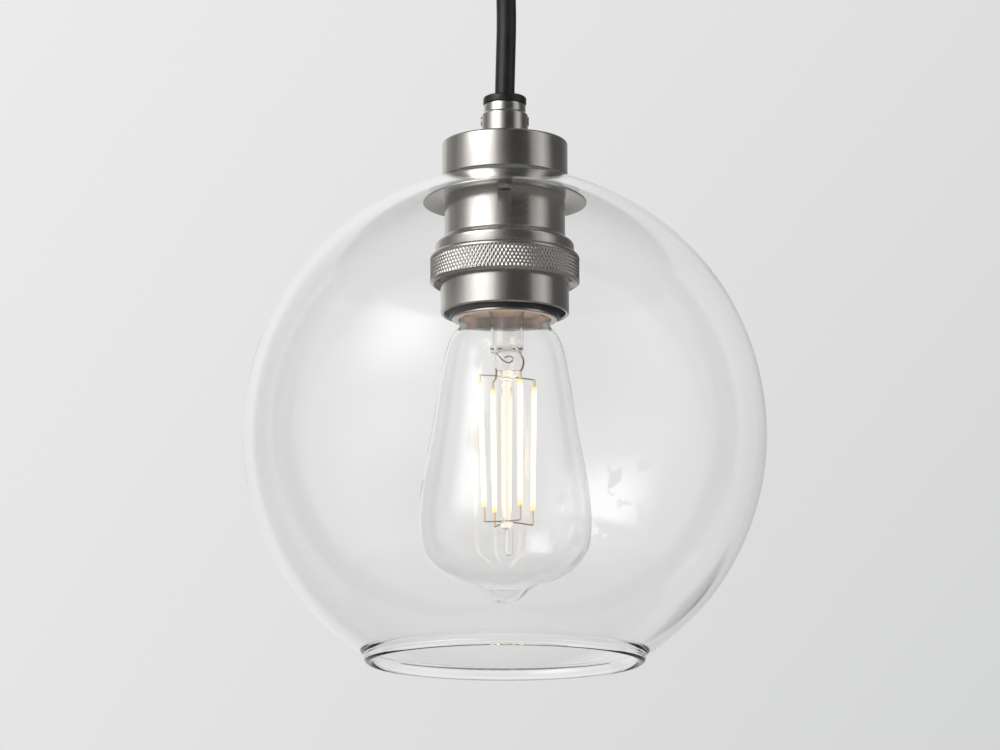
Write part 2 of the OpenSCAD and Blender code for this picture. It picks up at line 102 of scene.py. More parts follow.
def rounded(corners, steps=5):
    """A closed outline: a corner given as (r, h, radius) is turned on an arc."""
    line = []
    for i, corner in enumerate(corners):
        here = Vector(corner[:2])
        if len(corner) < 3:
            line.append(tuple(here))
            continue
        back = (Vector(corners[i - 1][:2]) - here).normalized()
        on = (Vector(corners[(i + 1) % len(corners)][:2]) - here).normalized()
        half = back.angle(on) / 2
        middle = here + (back + on).normalized() * corner[2] / math.sin(half)
        first = here + back * corner[2] / math.tan(half) - middle
        last = here + on * corner[2] / math.tan(half) - middle
        start = math.atan2(first.y, first.x)
        sweep = (math.atan2(last.y, last.x) - start + math.pi) % TURN - math.pi
        line += arc(middle.x, middle.y, corner[2], math.degrees(start),
                    math.degrees(start + sweep), steps)
    return line


def smooth_line(points, parts=6):
    """Catmull-Rom curve through points, with each span in parts."""
    p = [Vector(q) for q in points]
    line = []
    for i in range(len(p) - 1):
        a, b, c, d = p[max(i - 1, 0)], p[i], p[i + 1], p[min(i + 2, len(p) - 1)]
        for k in range(parts):
            t = k / parts
            line.append(0.5 * (2 * b + (c - a) * t + (2 * a - 5 * b + 4 * c - d) * t * t
                               + (3 * b - a - 3 * c + d) * t ** 3))
    return line + [p[-1]]


def lathe(name, outline, segments=128, shape=None, base=CENTRE_Z, sharp=32):
    """Turns a closed outline about the axis. shape(r, h, angle) may change r."""
    bm = bmesh.new()
    rings = []
    for r, h in outline:
        z = base + h * MM
        if r < 1e-6:
            rings.append([bm.verts.new((0, 0, z))] * segments)
            continue
        ring = []
        for k in range(segments):
            a = TURN * k / segments
            q = (shape(r, h, a) if shape else r) * MM
            ring.append(bm.verts.new((q * math.cos(a), q * math.sin(a), z)))
        rings.append(ring)
    for i, ring in enumerate(rings):
        other = rings[(i + 1) % len(rings)]
        for k in range(segments):
            n = (k + 1) % segments
            corners = list(dict.fromkeys((ring[k], ring[n], other[n], other[k])))
            if len(corners) > 2:
                bm.faces.new(corners)
    return mesh_piece(name, bm, sharp)


def tube_into(bm, line, diameter, sides):
    """Adds a round tube with domed ends along line, points in metres."""
    points = [Vector(q) for q in line]
    tangents = [(points[min(i + 1, len(points) - 1)] - points[max(i - 1, 0)]).normalized()
                for i in range(len(points))]
    side = tangents[0].orthogonal().normalized()
    stations = []
    for i, (point, along) in enumerate(zip(points, tangents)):
        side = (side - along * side.dot(along)).normalized()
        before = [(0.45, -0.9), (0.8, -0.6)] if i == 0 else []
        after = [(0.8, 0.6), (0.45, 0.9)] if i == len(points) - 1 else []
        for scale, push in before + [(1, 0)] + after:
            stations.append((point + along * push * diameter * 0.12, along, side, scale))
    rings = []
    for point, along, side, scale in stations:
        up = along.cross(side)
        rings.append([bm.verts.new(point + (side * math.cos(TURN * k / sides)
                      + up * math.sin(TURN * k / sides)) * diameter / 2 * scale)
                      for k in range(sides)])
    for ring, other in zip(rings, rings[1:]):
        for k in range(sides):
            n = (k + 1) % sides
            bm.faces.new((ring[k], ring[n], other[n], other[k]))
    bm.faces.new(rings[0])
    bm.faces.new(rings[-1])


def tubes(name, lines, diameter, sides=16):
    """One piece of round tubes, each along a smooth line through its points in mm."""
    bm = bmesh.new()
    for line in lines:
        placed = [Vector(q) * MM + Vector((0, 0, CENTRE_Z)) for q in line]
        tube_into(bm, smooth_line(placed) if len(line) > 2 else placed, diameter * MM, sides)
    return mesh_piece(name, bm, 50)


def cylinder_tool(start, end, radius, sides=48):
    """A plain round bar, used only to cut."""
    bm = bmesh.new()
    start, end = Vector(start), Vector(end)
    turn = (end - start).to_track_quat("Z", "Y").to_matrix().to_4x4()
    bmesh.ops.create_cone(bm, cap_ends=True, segments=sides, radius1=radius, radius2=radius,
                          depth=(end - start).length,
                          matrix=Matrix.Translation((start + end) / 2) @ turn)
    return mesh_piece("cutter", bm)


def box_tool(low, high):
    """A plain box, used only to cut."""
    low, high = Vector(low), Vector(high)
    size = Matrix.Diagonal((high - low).to_4d())
    size[3][3] = 1
    bm = bmesh.new()
    bmesh.ops.create_cube(bm, size=1, matrix=Matrix.Translation((low + high) / 2) @ size)
    return mesh_piece("cutter", bm)


def cut(piece, *tools, bevel=0.0, sharp=32):
    """Takes the tools out of piece, and rounds the edges of the cuts by bevel metres."""
    for tool in tools:
        boolean = piece.modifiers.new("cut", "BOOLEAN")
        boolean.object, boolean.operation, boolean.solver = tool, "DIFFERENCE", "EXACT"
    if bevel:
        edge = piece.modifiers.new("edge", "BEVEL")
        edge.width, edge.segments, edge.limit_method = bevel, 2, "ANGLE"
        edge.angle_limit = math.radians(50)
    bpy.context.view_layer.update()
    shaped = piece.evaluated_get(bpy.context.evaluated_depsgraph_get())
    mesh = bpy.data.meshes.new_from_object(shaped)
    piece.modifiers.clear()
    piece.data = mesh
    mesh.shade_smooth()
    mesh.set_sharp_from_angle(angle=math.radians(sharp))
    for tool in tools:
        bpy.data.objects.remove(tool)
    return piece


def place(piece, body, material, slot, *nodes):
    """Finishes a piece: its material, its body and the nodes it stands for. slot is not used.
    """
    piece.data.materials.clear()
    piece.data.materials.append(material)
    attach(piece, body)
    if nodes:
        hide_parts(*nodes)


# ---------------------------------------------------------------- material tools
def node(tree, kind, inputs=None, **settings):
    """Adds a shader node. An input given as a socket is linked, and as a value is set."""
    made = tree.nodes.new("ShaderNode" + kind)
    for key, value in settings.items():
        setattr(made, key, value)
    for key, value in (inputs or {}).items():
        if isinstance(value, bpy.types.NodeSocket):
            tree.links.new(value, made.inputs[key])
        else:
            made.inputs[key].default_value = value
    return made


def math_node(tree, operation, a, b=0.0):
    return node(tree, "Math", {0: a, 1: b}, operation=operation).outputs[0]


def noise(tree, scale, stretch=(1, 1, 1), detail=3.0):
    """Noise in the piece's own metres, stretched along chosen axes."""
    at = node(tree, "TexCoord").outputs["Object"]
    scaled = node(tree, "Mapping", {"Vector": at, "Scale": stretch}).outputs[0]
    return node(tree, "TexNoise", {"Vector": scaled, "Scale": scale,
                                   "Detail": detail}).outputs["Fac"]


def spread(tree, value, low, high, start=0.3, end=0.7):
    """Maps value from start..end to low..high."""
    return node(tree, "MapRange", {"Value": value, "From Min": start, "From Max": end,
                                   "To Min": low, "To Max": high}).outputs["Result"]


def ease(tree, value, start, end):
    """Rises smoothly from 0 to 1 as value goes from start to end, which may be the lower."""
    return node(tree, "MapRange", {"Value": value, "From Min": start, "From Max": end},
                interpolation_type="SMOOTHSTEP").outputs["Result"]


def blend_colour(tree, factor, a, b):
    """Mixes two colours, each a socket or three numbers."""
    mixed = node(tree, "Mix", data_type="RGBA")
    for key, value in ((0, factor), (6, a), (7, b)):
        if isinstance(value, bpy.types.NodeSocket):
            tree.links.new(value, mixed.inputs[key])
        else:
            mixed.inputs[key].default_value = value if key == 0 else (*value, 1)
    return mixed.outputs[2]


def bump(tree, height, strength, depth):
    """Bump of that depth in metres."""
    return node(tree, "Bump", {"Height": height, "Strength": strength,
                               "Distance": depth}).outputs["Normal"]


def solid(name, colour, rough, metal=0.0, vary=0.06, mottle=90, grain=900, stretch=(1, 1, 1),
          grain_depth=0.00002, wear=None, wear_share=0.5, hollow_colour=None, **fixed):
    """An opaque surface: mottled colour, uneven roughness, a fine grain, and worn edges.
    wear is the colour of convex edges; the hollow colour darkens hollows; fixed sets sockets."""
    made = bpy.data.materials.new(name)
    made.use_nodes = True
    tree = made.node_tree
    surface = tree.nodes["Principled BSDF"]
    cloud = noise(tree, mottle, detail=4)
    fine = noise(tree, grain, stretch)
    darker = tuple(max(c * (1 - 2 * vary), 0) for c in colour)
    lighter = tuple(min(c * (1 + vary), 1) for c in colour)
    tint = blend_colour(tree, spread(tree, cloud, 0, 1), darker, lighter)
    edge = node(tree, "NewGeometry").outputs["Pointiness"]
    # hollows, where pointiness is low, are darkened towards the hollow colour
    if hollow_colour:
        tint = blend_colour(tree, spread(tree, edge, 0.8, 0, 0.40, 0.49), tint, hollow_colour)
    if wear:
        tint = blend_colour(tree, spread(tree, edge, 0, wear_share, 0.52, 0.62), tint, wear)
    tree.links.new(tint, surface.inputs["Base Color"])
    uneven = math_node(tree, "ADD", spread(tree, cloud, 0, 0.5), spread(tree, fine, 0, 0.5))
    tree.links.new(spread(tree, uneven, *rough, 0, 1), surface.inputs["Roughness"])
    tree.links.new(bump(tree, fine, 0.5, grain_depth), surface.inputs["Normal"])
    surface.inputs["Metallic"].default_value = metal
    for key, value in fixed.items():
        surface.inputs[key.replace("_", " ")].default_value = value
    return made


def glass(name, colour, waviness, wave_scale, glow=0, painted_glow_colour=(1, 0.8, 0.52)):
    """Glass that bends what is seen through it, slightly uneven and smeared in places.
    Light for other surfaces goes straight through, and so does a reflection that starts
    in the air, after an even count of faces."""
    made = bpy.data.materials.new(name)
    made.use_nodes = True
    tree = made.node_tree
    surface = tree.nodes["Principled BSDF"]
    surface.inputs["Transmission Weight"].default_value = 1
    surface.inputs["IOR"].default_value = 1.47
    cloud = noise(tree, 90)
    tree.links.new(blend_colour(tree, cloud, colour, tuple(c * 0.985 for c in colour)),
                   surface.inputs["Base Color"])
    smear = math_node(tree, "MAXIMUM", spread(tree, cloud, -0.02, 0.01), 0)
    tree.links.new(smear, surface.inputs["Roughness"])
    tree.links.new(bump(tree, noise(tree, wave_scale, detail=1), 1.0, waviness),
                   surface.inputs["Normal"])
    # glow is a painted glow: the glass itself emits, standing in for lamp light caught in it
    surface.inputs["Emission Color"].default_value = (*painted_glow_colour, 1)
    surface.inputs["Emission Strength"].default_value = glow
    ray = node(tree, "LightPath").outputs
    faces = math_node(tree, "MODULO", ray["Transmission Depth"], 2)
    in_air = math_node(tree, "LESS_THAN", faces, 0.5)
    mirrored = math_node(tree, "MULTIPLY", in_air, ray["Is Reflection Ray"])
    lighting = math_node(tree, "MAXIMUM", ray["Is Shadow Ray"], ray["Is Diffuse Ray"])
    straight = math_node(tree, "MAXIMUM", lighting, mirrored)
    clear = node(tree, "BsdfTransparent", {"Color": (*colour, 1)}).outputs[0]
    mixed = node(tree, "MixShader", {0: straight, 1: surface.outputs[0], 2: clear}).outputs[0]
    tree.links.new(mixed, tree.nodes["Material Output"].inputs["Surface"])
    return made


def glowing(name, colour, end_colour, strength):
    """A lit stick, with a fine mottle in its brightness and a dimmer colour at both ends."""
    made = bpy.data.materials.new(name)
    made.use_nodes = True
    tree = made.node_tree
    surface = tree.nodes["Principled BSDF"]
    cloud = noise(tree, 1400, detail=2)
    surface.inputs["Base Color"].default_value = (1, 0.72, 0.35, 1)
    way = node(tree, "SeparateXYZ", {0: node(tree, "TexCoord").outputs["Generated"]}).outputs
    from_middle = math_node(tree, "ABSOLUTE", math_node(tree, "SUBTRACT", way[2], 0.5))
    mottle = blend_colour(tree, cloud, tuple(c * 0.8 for c in colour), colour)
    tree.links.new(blend_colour(tree, ease(tree, from_middle, 0.43, 0.49), mottle, end_colour),
                   surface.inputs["Emission Color"])
    surface.inputs["Emission Strength"].default_value = strength
    tree.links.new(spread(tree, cloud, 0.4, 0.7), surface.inputs["Roughness"])
    tree.links.new(bump(tree, cloud, 0.4, 0.0001), surface.inputs["Normal"])
    return made


# turned parts have grooves that run round them, so their grain is drawn out across the axis
TURNED = (0.02, 0.02, 1)
nickel = solid("satin_nickel", (0.74, 0.71, 0.675), (0.17, 0.25), 1, 0.02, 70, 2600, TURNED,
               0.000004, wear=(0.86, 0.84, 0.8), wear_share=0.4)
polished_nickel = solid("polished_nickel", (0.68, 0.65, 0.62), (0.07, 0.13), 1, 0.02, 70, 2600,
                        TURNED, 0.000002, wear=(0.86, 0.84, 0.8), wear_share=0.4)
knurled_nickel = solid("knurled_nickel", (0.72, 0.69, 0.65), (0.18, 0.27), 1, 0.03, 150, 3000,
                       (1, 1, 1), 0.000004, wear=(0.9, 0.88, 0.84), wear_share=0.7,
                       hollow_colour=(0.22, 0.2, 0.18))
zinc = solid("zinc_plate", (0.62, 0.63, 0.64), (0.3, 0.45), 1, 0.08, 260, 1800,
             grain_depth=0.00001, wear=(0.8, 0.8, 0.8))
brass = solid("bare_brass", (0.78, 0.57, 0.27), (0.2, 0.34), 1, 0.08, 160, 2400, TURNED,
              0.000006, wear=(0.92, 0.76, 0.45), hollow_colour=(0.3, 0.2, 0.09))
# the shell's warm emission is painted light: the filaments' glow falling on the shell
shell_metal_painted_glow = solid("shell_metal_painted_glow", (0.84, 0.56, 0.4), (0.24, 0.36), 1, 0.06, 200, 2400, TURNED,
                    0.000006, wear=(0.85, 0.7, 0.5), hollow_colour=(0.25, 0.16, 0.1),
                    Emission_Color=(1, 0.68, 0.5, 1), Emission_Strength=0.25)
# the tabs' orange emission is painted light: the filaments' glow on the metal tabs
tab_metal_painted_glow = solid("filament_tab", (0.78, 0.62, 0.45), (0.3, 0.42), 0.6, 0.06, 900, 5000,
                  grain_depth=0.000005, Emission_Color=(1, 0.72, 0.4, 1),
                  Emission_Strength=0.22)
wire_metal = solid("support_wire", (0.6, 0.56, 0.52), (0.25, 0.4), 1, 0.08, 900, 6000,
                   grain_depth=0.000004)
sheath = solid("flex_sheath", (0.019, 0.019, 0.021), (0.34, 0.48), 0, 0.2, 140, 2200,
               (1, 1, 0.25), 0.00002, wear=(0.05, 0.05, 0.05), wear_share=0.3)
black_plastic = solid("black_plastic", (0.02, 0.02, 0.021), (0.3, 0.45), 0, 0.2, 200, 3200,
                      grain_depth=0.00001, wear=(0.07, 0.07, 0.07), wear_share=0.4)
white_plastic = solid("white_plastic", (0.82, 0.82, 0.79), (0.3, 0.42), 0, 0.03, 120, 2600,
                      grain_depth=0.00001, wear=(0.9, 0.9, 0.88))
ceramic = solid("glazed_ceramic", (0.84, 0.82, 0.76), (0.1, 0.22), 0, 0.03, 100, 1200,
                grain_depth=0.00002, wear=(0.78, 0.74, 0.66), Coat_Weight=0.5)
board = solid("board_green", (0.03, 0.16, 0.07), (0.3, 0.45), 0, 0.12, 700, 4000,
              grain_depth=0.00001, wear=(0.25, 0.3, 0.15))
silicone = solid("clear_silicone", (0.78, 0.8, 0.8), (0.25, 0.4), 0, 0.04, 200, 1500,
                 grain_depth=0.00002, wear=(0.9, 0.9, 0.9), Transmission_Weight=0.7, IOR=1.41)
sleeves = {key: solid("sleeve_" + key, colour, (0.3, 0.42), 0, 0.06, 300, 3000,
                      grain_depth=0.00001)
           for key, colour in (("brown", (0.17, 0.07, 0.03)), ("blue", (0.03, 0.09, 0.35)),
                               ("green", (0.09, 0.3, 0.07)))}
globe_glass = glass("globe_glass", (0.998, 0.998, 0.998), 0.00015, 14)
# the lamp envelope gets a faint painted glow: filament light caught in its glass
lamp_glass = glass("lamp_glass", (1, 1, 0.998), 0.0001, 50, glow=0.009,
                   painted_glow_colour=(1, 0.97, 0.93))
stem_glass = glass("stem_glass", (0.98, 0.97, 0.95), 0.0001, 120)
# the glass rod gets a painted glow: filament light caught in the rod
rod_glass = glass("rod_glass", (0.99, 0.97, 0.94), 0.0001, 120, glow=0.14)
phosphor = glowing("phosphor_jacket", (1.0, 0.8, 0.5), (0.46, 0.24, 0.06), 2.0)


# ---------------------------------------------------------------- the flex
def make_flex():
    """60 mm of round flex, held taut between the ceiling ball and the collar."""
    lean = [0, 0.05, 0.15, 0.25, 0.35, 0.45, 0.55, 0.6, 0.6, 0.55, 0.45, 0.35, 0.25, 0.15,
            0.05, 0]
    top, length, diameter = -0.029, 0.06, 0.0074
    route = [(x * MM, 0, top - length * i / (len(lean) - 1)) for i, x in enumerate(lean)]
    route.reverse()  # it starts at the collar, where the flex leaves the pendant
    curve = bpy.data.curves.new("flex", "CURVE")
    curve.dimensions, curve.resolution_u, curve.bevel_resolution = "3D", 4, 10
    curve.bevel_depth, curve.use_fill_caps = diameter / 2, True
    spline = curve.splines.new("BEZIER")
    spline.bezier_points.add(len(route) - 1)
    for point, at in zip(spline.bezier_points, route):
        point.co, point.handle_left_type, point.handle_right_type = at, "AUTO", "AUTO"
    flex = bpy.data.objects.new("flex", curve)
    scene.collection.objects.link(flex)
    place(flex, "cord", sheath, "flex_sheath", "suspension_cord")


make_flex()


# ---------------------------------------------------------------- ceiling rose
def turned_x(name, outline, side, base_x, z, segments=48, shape=None):
    """A lathed part whose axis points out along X on one side; h is the way out."""
    piece = lathe(name, outline, segments, shape, base=0)
    quarter = Matrix.Rotation(side * math.pi / 2, 4, "Y")
    piece.data.transform(Matrix.Translation((side * base_x, 0, z)) @ quarter)
    return piece


def make_rose():
    """The cover with its side screws, and the cup, ball and flex end at its middle."""
    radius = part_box("rose_cover")[1].x / MM
    wall, corner, hole = 1.2, 4, 12.1
    outline = ([(hole, -ROSE_H)] + arc(radius - corner, corner - ROSE_H, corner, -90, 0, 10)
               + [(radius, -0.3), (radius - 0.3, 0), (radius - wall, 0)]
               + arc(radius - corner, corner - ROSE_H, corner - wall, 0, -90, 10)
               + [(hole, wall - ROSE_H)])
    cover = lathe("rose_cover_shell", outline, 192, base=0)
    screw_z = -0.008
    holes = [cylinder_tool((side * 0.045, 0, screw_z), (side * 0.055, 0, screw_z), 0.0022)
             for side in (-1, 1)]
    place(cut(cover, *holes, bevel=0.0002), "ceiling_rose", nickel, "nickel", "rose_cover")
    head = rounded([(0, -7), (1.9, -7, 0.3), (1.9, 0), (4, 0, 0.3), (4, 2.4), (3.4, 3, 0.3),
                    (0, 3)])
    for side, label in ((-1, "left"), (1, "right")):
        knob = turned_x("thumb_screw_" + label, head, side, radius * MM, screw_z, 96,
                        lambda r, h, a: r - 0.12 * (1 + math.cos(32 * a)) / 2 * (r > 3.8))
        slot = sorted(side * (radius + out) * MM for out in (2.2, 4))
        slot_tool = box_tool((slot[0], -0.005, screw_z - 0.0005),
                             (slot[1], 0.005, screw_z + 0.0005))
        place(cut(knob, slot_tool, bevel=0.00008), "ceiling_rose", nickel, "nickel",
              "rose_screws")
    seat = ([(15, -6.1), (15, -5.25), (12, -5.25), (12, 2), (9.3, 2), (9.3, 0)]
            + arc(0, 0, 9.3, 0, -40.5, 10))
    place(lathe("swivel_cup", seat, 96, base=BALL_Z), "ceiling_rose", nickel, "nickel",
          "swivel_seat")
    ball = [(3.65, 7.6)] + arc(0, 0, 9, 57.6, -66, 40) + [(3.65, -8)]
    place(lathe("ball", ball, 96, base=BALL_Z), "swivel", black_plastic, "black_plastic",
          "swivel_ball")
    tail = rounded([(0, -6), (3.6, -6), (3.6, 10.6, 0.4), (0, 10.6)])
    place(lathe("flex_end", tail, 48, base=BALL_Z), "swivel", sheath, "flex_sheath",
          "flex_tail")


def make_rose_cores():
    """Three cores from the flex's end to the terminal block."""
    ball = BALL_Z / MM
    for k, key in ((-1, "brown"), (0, "green"), (1, "blue")):
        line = [(-1.5, 2.3 * k, ball + 13.6), (0.5, 2.4 * k, ball + 14.6), (3, 2.8 * k, -4.4),
                (6, 3.6 * k, -4), (9.5, 4.8 * k, -4.3), (12.5, 6.1 * k, -5.6),
                (15, 6.9 * k, -7.1), (17.5, 7 * k, -7.5), (21, 7 * k, -7.5)]
        line = [(x, y, z - CENTRE_Z / MM) for x, y, z in line]
        place(tubes("rose_core_" + key, [line], 2), "ceiling_rose", sleeves[key],
              "core_sleeve", "rose_cores")


# ---------------------------------------------------------------- lampholder
CAP_TOP, CAP_BASE, CAP_R = 111.4, 97.4, 23.55
RING_R, RING_BASE = 28.0, 57.0
KNURL_BASE, KNURL_END, KNURL_DEPTH = 57.8, 66.5, 0.5
KNURLS, KNURL_TALL = 118, 2.6  # diamonds round the ring, and one diamond's height
CUP_BASE = 45.5
PITCH, THREAD = 3.629, 0.5  # the lamp's screw thread, and how far it waves in and out
THREAD_STEP = 0.3


def make_grip():
    """The collar, the barrel with its cove, and the two screws that hold the flex."""
    collar = rounded([(0, 117.4), (5.9, 117.4, 0.3), (5.9, 126), (8.1, 126, 0.3),
                      (8.1, 129, 0.9), (4.4, 129, 0.25), (4.1, 128.7), (0, 128.7)])
    place(lathe("collar", collar, 96), "pendant", black_plastic, "black_plastic",
          "cord_collar")
    body = (rounded([(5.05, CAP_TOP + 0.02), (8.3, CAP_TOP + 0.02, 0.1),
                     (8.7, CAP_TOP + 0.4, 0.2), (8.7, 121.6)])
            + arc(8.5, 121.65, 0.2, 0, 60, 4) + arc(9.1, 123.1, 1.25, -115, -170, 10)
            + [(7.85, 123.7), (7.85, 125.4), (7.7, 125.85), (7.4, 125.99), (5.95, 125.99),
               (5.95, 117.2), (5.05, 117.2)])
    grip = lathe("grip", body, 128)
    screw_z = CENTRE_Z + 119.6 * MM
    holes = [cylinder_tool((s * 0.005, 0, screw_z), (s * 0.012, 0, screw_z), 0.0018)
             for s in (-1, 1)]
    place(cut(grip, *holes, bevel=0.00012), "pendant", nickel, "nickel", "cord_grip")
    stud = rounded([(0, 0), (1.7, 0, 0.2), (1.7, 3.1, 0.3), (0, 3.1)])
    for side, label in ((-1, "left"), (1, "right")):
        screw = turned_x("grub_screw_" + label, stud, side, 0.00595, screw_z, 40)
        socket = cylinder_tool((side * 0.00745, 0, screw_z), (side * 0.011, 0, screw_z),
                               0.00095, 6)
        place(cut(screw, socket), "pendant", zinc, "zinc_steel", "grip_screws")


def keyway_tool(top):
    """The notch that stops the flange and the body turning on each other."""
    return box_tool((-0.0023, -0.025, CENTRE_Z + 87.8 * MM),
                    (0.0023, -0.0207, CENTRE_Z + top * MM))


def make_upper_holder():
    """The top cap, the body tube, and the flange and washers that clamp the globe."""
    cap = rounded([(21.9, CAP_BASE, 0.2), (CAP_R, CAP_BASE, 0.3), (CAP_R, CAP_TOP, 1.1),
                   (5.1, CAP_TOP, 0.2), (5.1, CAP_TOP - 2), (21.9, CAP_TOP - 2, 0.6)], 8)
    place(lathe("cap_shell", cap, 192), "pendant", nickel, "nickel", "top_cap")
    body = ([(24.3, 61.1), (25.7, 61.1), (25.9, 61.3), (25.9, 68.4), (26, 68.6)]
            + arc(24.2, 71.4, 1.8, 0, 62, 8) + arc(24, 75.1, 1.3, 242, 180, 8)
            + [(22.7, 89.9), (22.4, 90.2), (20.4, 90.2), (20.4, 103.6), (20, 104), (5.15, 104),
               (5.15, 102), (18.9, 102), (18.9, 88.7), (21.2, 88.7), (21.2, 73.5),
               (24.3, 69.5)])
    place(cut(lathe("body_tube", body, 192), keyway_tool(92.8), bevel=0.0001), "pendant",
          nickel, "nickel", "upper_body")
    flange = rounded([(20.7, 90.21), (23, 90.21, 1.2), (31.05, 88.9, 0.3), (31.05, 89.8, 0.3),
                      (23, 91.1, 1.2), (20.7, 91.1)])
    place(cut(lathe("flange", flange, 192), keyway_tool(95), bevel=0.0001), "pendant",
          polished_nickel, "nickel", "shade_flange")
    upper = rounded([(20.8, 96.9, 0.15), (22.9, 96.9, 0.2), (22.9, 97.39, 0.2),
                     (20.8, 97.39, 0.15)])
    place(lathe("upper_washer", upper, 128), "pendant", silicone, "clear_gasket",
          "upper_gasket")
    lower = rounded([(21.4, 91.15), (23, 91.15), (27.4, 90.44, 0.3), (27.4, 92.0, 0.5),
                     (21.4, 93.7, 0.5)])
    place(lathe("lower_washer", lower, 128), "pendant", silicone, "clear_gasket",
          "lower_gasket")


def knurl(r, h, angle):
    """Diamond pyramids between two sets of crossing grooves."""
    inside_face = r < RING_R - 1.6
    if inside_face or not KNURL_BASE < h < KNURL_END:
        return r
    round_by, up_by = KNURLS * angle / TURN, h / KNURL_TALL
    grooves = [abs((round_by + s * up_by) % 1 - 0.5) * 2 for s in (-1, 1)]
    crest = min(1.15 * (1 - max(grooves)), 0.85)
    fade = min((h - KNURL_BASE) / 0.3, (KNURL_END - h) / 0.3, 1)
    return r - KNURL_DEPTH * fade * (1 - crest)


def make_union_ring():
    """The ring that joins the two halves of the holder, knurled round its outside."""
    rows = 28
    top_arc = arc(26.1, KNURL_END, 1.9, 0, 88, 12)
    band = [(RING_R, KNURL_BASE + (KNURL_END - KNURL_BASE) * k / rows) for k in range(rows)]
    outline = (rounded([(25, RING_BASE, 0.15), (26.9, RING_BASE, 0.3), (27.7, 57.5)])
               + [(27.85, KNURL_BASE - 0.05)] + band + top_arc
               + [(26.2, 59.3), (25, 59.3)])
    place(lathe("union_collar", outline, 840, knurl, sharp=60), "union_ring", knurled_nickel,
          "nickel", "knurled_ring")


def make_lower_holder():
    """The cup with its rolled lip, its black liner, and the ring round the lamp's neck."""
    cup = (arc(23.3, CUP_BASE + 0.7, 0.7, -180, 0, 12)
           + [(24, 59.3), (24.2, 59.5), (25.45, 59.5), (25.6, 59.65), (25.6, 60.75),
              (25.45, 60.9), (22.6, 60.9)])
    place(lathe("cup", cup, 192), "lower_holder", nickel, "nickel", "holder_cup")
    insert = rounded([(19.65, 44.1, 0.2), (20.6, 44.1, 0.3), (20.6, 50.5), (22.55, 50.5, 0.2),
                      (22.55, 60.7, 0.2), (20.6, 60.7), (20.6, 73.4, 0.2), (15.2, 73.4),
                      (15.2, 52), (19.65, 52)])
    place(lathe("liner", insert, 128), "lower_holder", black_plastic, "black_plastic",
          "holder_insert")
    rim = rounded([(17.3, 43.3, 0.25), (19.6, 43.3, 0.35), (19.6, 51.6), (18.6, 51.6),
                   (18.6, 44.4, 0.3), (17.3, 44.4, 0.25)])
    place(lathe("rim_ring", rim, 128), "lower_holder", nickel, "nickel", "shell_rim_ring")


def thread_wave(low, high):
    """Carries a thin wall in and out along a thread between two heights."""
    def shape(r, h, angle):
        fade = max(min((h - low) / 1.2, (high - h) / 1.2, 1), 0)
        return r + THREAD * fade * math.cos(angle - TURN * h / PITCH)
    return shape


def heights(low, high):
    """Evenly spaced heights, close enough together to show a thread."""
    count = round((high - low) / THREAD_STEP)
    return [low + (high - low) * k / count for k in range(count + 1)]


def make_threads():
    """The threaded shell in the holder, and the lamp's own threaded cap."""
    inner, sheet = 13.1, 0.4
    shell = ([(17.3, 48), (17.3, 48.5), (14.3, 51.6)]
             + [(inner + sheet, h) for h in heights(52, 73.2)]
             + [(inner, h) for h in reversed(heights(51.7, 73.2))]
             + [(13.6, 51.2), (16.6, 48)])
    place(lathe("thread_shell", shell, 96, thread_wave(51.6, 73.2), sharp=60),
          "lower_holder", shell_metal_painted_glow, "brass", "screw_shell")
    outer, sheet = 12.6, 0.3
    cap = ([(outer - 0.5, 51.6), (outer - 0.5, 53)]
           + [(outer, h) for h in heights(53.4, 70.8)]
           + [(12.1, 71.2), (9.6, 73.3), (9.3, 73.1), (11.8, 71)]
           + [(outer - sheet, h) for h in reversed(heights(53.4, 70.6))]
           + [(outer - 0.8, 53), (outer - 0.8, 51.6)])
    place(lathe("lamp_cap", cap, 96, thread_wave(53, 71.2), sharp=60), "lamp", zinc,
          "zinc_steel", "bulb_cap")


def make_lamp_cores():
    """Each core runs down the nipple, then out to its terminal."""
    down = [(1.7, 0, 117.3), (1.7, 0, 110), (1.7, 0, 103), (1.8, 0, 98), (2.8, 0, 95.6),
            (5, 0, 94), (8, 0, 93.6), (11, 0, 92.8), (12.6, 0, 91), (13, 0, 88.5),
            (13, 0, 84), (13, 0, 79)]
    for name, key, turn in (("live_core", "brown", -30), ("neutral_core", "blue", 210)):
        c, s = math.cos(math.radians(turn)), math.sin(math.radians(turn))
        line = [(x * c, x * s, h) for x, y, h in down]
        place(tubes(name + "_lead", [line], 2), "pendant", sleeves[key], "core_sleeve", name)
    line = [(0, 1.7, 117.3), (0, 1.7, 110), (0, 1.7, 103), (0, 1.8, 98), (0, 3, 95.4),
            (0, 5.2, 94.3), (0, 7.1, 94.6), (0, 8.3, 96.2), (0, 8.5, 97.6), (0, 8.5, 99.2),
            (0, 8.5, 101.2)]
    place(tubes("earth_core_lead", [line], 2), "pendant", sleeves["green"], "core_sleeve",
          "earth_core")


# ---------------------------------------------------------------- glass
BEAD_R, BEAD_AT, MOUTH_R = 1.7, 50.0, 49.4
MOUTH_OUT, MOUTH_IN = -57.2, -58.9  # where the wall meets the bead, in degrees up
TOP_HOLE_R = 21.35


def oval(radius, top, start, end, steps):
    """Points on a ball's outline whose upper half rises to top."""
    angles = [math.radians(start + (end - start) * k / steps) for k in range(steps + 1)]
    return [(radius * math.cos(a), (top if a > 0 else radius) * math.sin(a)) for a in angles]


